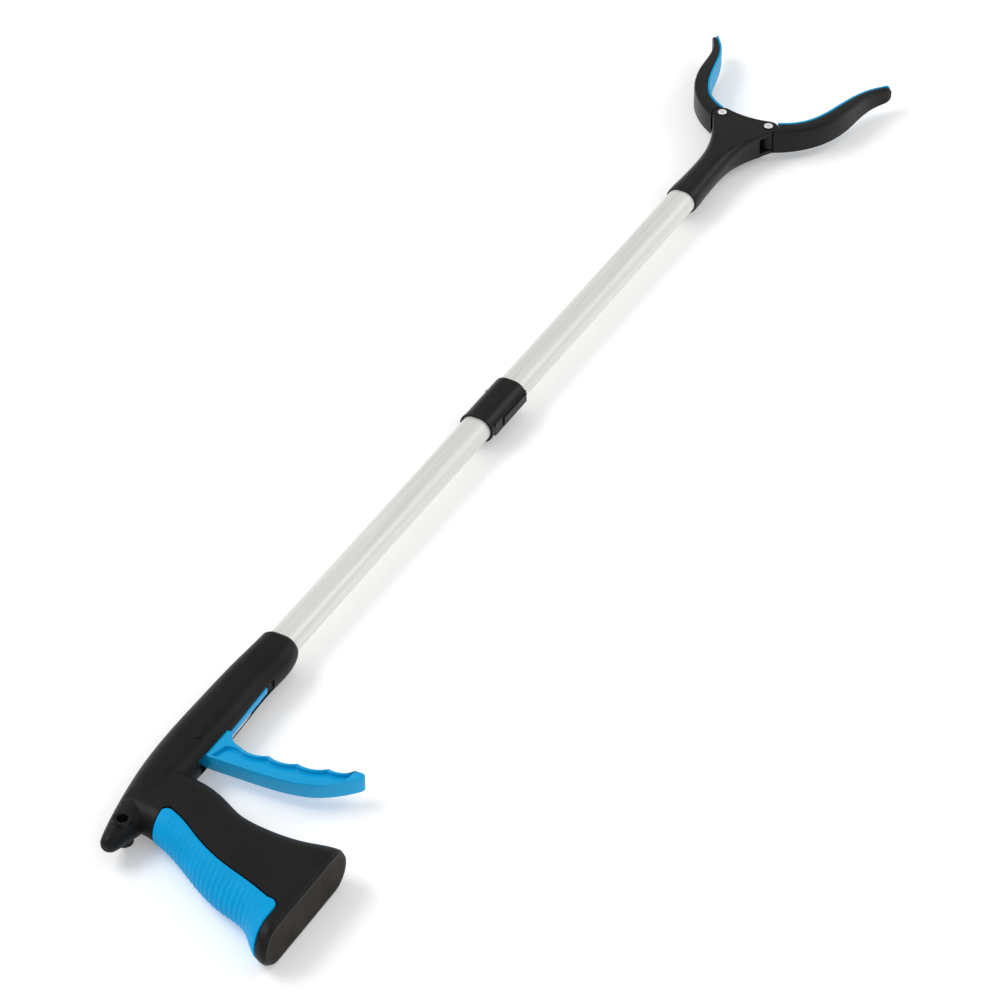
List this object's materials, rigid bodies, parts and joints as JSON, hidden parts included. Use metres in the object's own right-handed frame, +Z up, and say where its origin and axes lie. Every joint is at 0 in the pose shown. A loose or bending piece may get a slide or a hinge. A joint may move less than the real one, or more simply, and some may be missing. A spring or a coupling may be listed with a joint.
{
  "type": "reacher grabber",
  "caption": "Folding reacher grabber: pistol handle with blue trigger, oval shaft hinged at a sleeve, and a forked head whose two curved jaws close on a cable.",
  "frame": {"origin": "middle of the base of the whole object as it lies on its side, on the surface it rests on", "axes": "+X along the shaft from handle to jaws, +Z up, normal to the plane of handle and jaws, and the grip and trigger point to -Y"},
  "size_m": [0.7922, 0.167, 0.0251],
  "materials": {
    "black_plastic": "fine-textured moulded black plastic",
    "blue_plastic": "smooth moulded blue plastic, semi-gloss",
    "blue_rubber": "soft blue overmould with fine cross ribs",
    "liner_rubber": "soft blue gripping liner",
    "butt_rubber": "dark brown-black end cap",
    "aluminium": "satin light grey",
    "steel": "plain steel",
    "rivet": "bright rivet",
    "cable": "light stranded cable",
    "white_nylon": "natural nylon"
  },
  "bodies": {
    "handle": {"handle_shell_upper": "black_plastic", "handle_shell_lower": "black_plastic", "grip_pad": "blue_rubber", "butt_cap": "butt_rubber", "shell_screws": "steel", "trigger_pin": "black_plastic", "cable_guide": "white_nylon", "barrel_screw": "steel", "lower_tube": "aluminium", "lower_plug": "white_nylon", "fold_sleeve": "black_plastic", "fold_pin": "steel", "cable_lead": "cable", "cable_fold": "cable"},
    "trigger": {"trigger": "blue_plastic", "trigger_leaf": "blue_plastic", "cable_anchor": "steel"},
    "cable_lower": {"cable_lower": "cable"},
    "upper": {"upper_tube": "aluminium", "fold_tongue": "black_plastic", "tongue_pin": "steel", "head_fork": "black_plastic", "head_screw": "steel", "jaw_rivets": "rivet", "rivet_washers": "black_plastic", "head_spring": "steel", "spring_seat": "white_nylon"},
    "lock_slider": {"lock_slider": "black_plastic"},
    "pull_yoke": {"yoke": "white_nylon", "yoke_pins": "steel", "cable_upper": "cable", "cable_ferrule": "steel"},
    "jaw_left": {"jaw_left": "black_plastic", "liner_left": "liner_rubber"},
    "jaw_right": {"jaw_right": "black_plastic", "liner_right": "liner_rubber"}
  },
  "joints": [
    {"name": "trigger_pivot", "type": "hinge", "parent": "handle", "child": "trigger", "pos_m": [-0.2916, 0.01875, 0.01254], "axis": [0, 0, -1], "range_deg": [0, 22], "stiffness_Nm_per_rad": 1.2, "springref_deg": -14.32, "deforming": ["cable_lead", "trigger_leaf"]},
    {"name": "cable_slide", "type": "slide", "parent": "handle", "child": "cable_lower", "axis": [-0.9994, -0.0346, 0], "range_m": [0, 0.0057]},
    {"name": "fold_hinge", "type": "hinge", "parent": "handle", "child": "upper", "pos_m": [0.0205, 0.02965, 0.01254], "axis": [0, 0, 1], "range_deg": [0, 160], "deforming": ["cable_fold"]},
    {"name": "lock_slide", "type": "slide", "parent": "handle", "child": "lock_slider", "axis": [-1, 0, 0], "range_m": [0, 0.006]},
    {"name": "yoke_slide", "type": "slide", "parent": "upper", "child": "pull_yoke", "axis": [-1, 0, 0], "range_m": [0, 0.0057], "deforming": ["head_spring"]},
    {"name": "jaw_left_pivot", "type": "hinge", "parent": "upper", "child": "jaw_left", "pos_m": [0.3175, 0.03855, 0.01254], "axis": [0, 0, -1], "range_deg": [0, 37.07]},
    {"name": "jaw_right_pivot", "type": "hinge", "parent": "upper", "child": "jaw_right", "pos_m": [0.3175, 0.00835, 0.01254], "axis": [0, 0, 1], "range_deg": [0, 37.07]}
  ],
  "couplings": [
    {"joint": "cable_slide", "follows": "trigger_pivot", "m_per_rad": 0.014843},
    {"joint": "yoke_slide", "follows": "trigger_pivot", "m_per_rad": 0.014843},
    {"joint": "jaw_left_pivot", "follows": "trigger_pivot", "ratio": 1.6849},
    {"joint": "jaw_right_pivot", "follows": "trigger_pivot", "ratio": 1.6849}
  ]
}
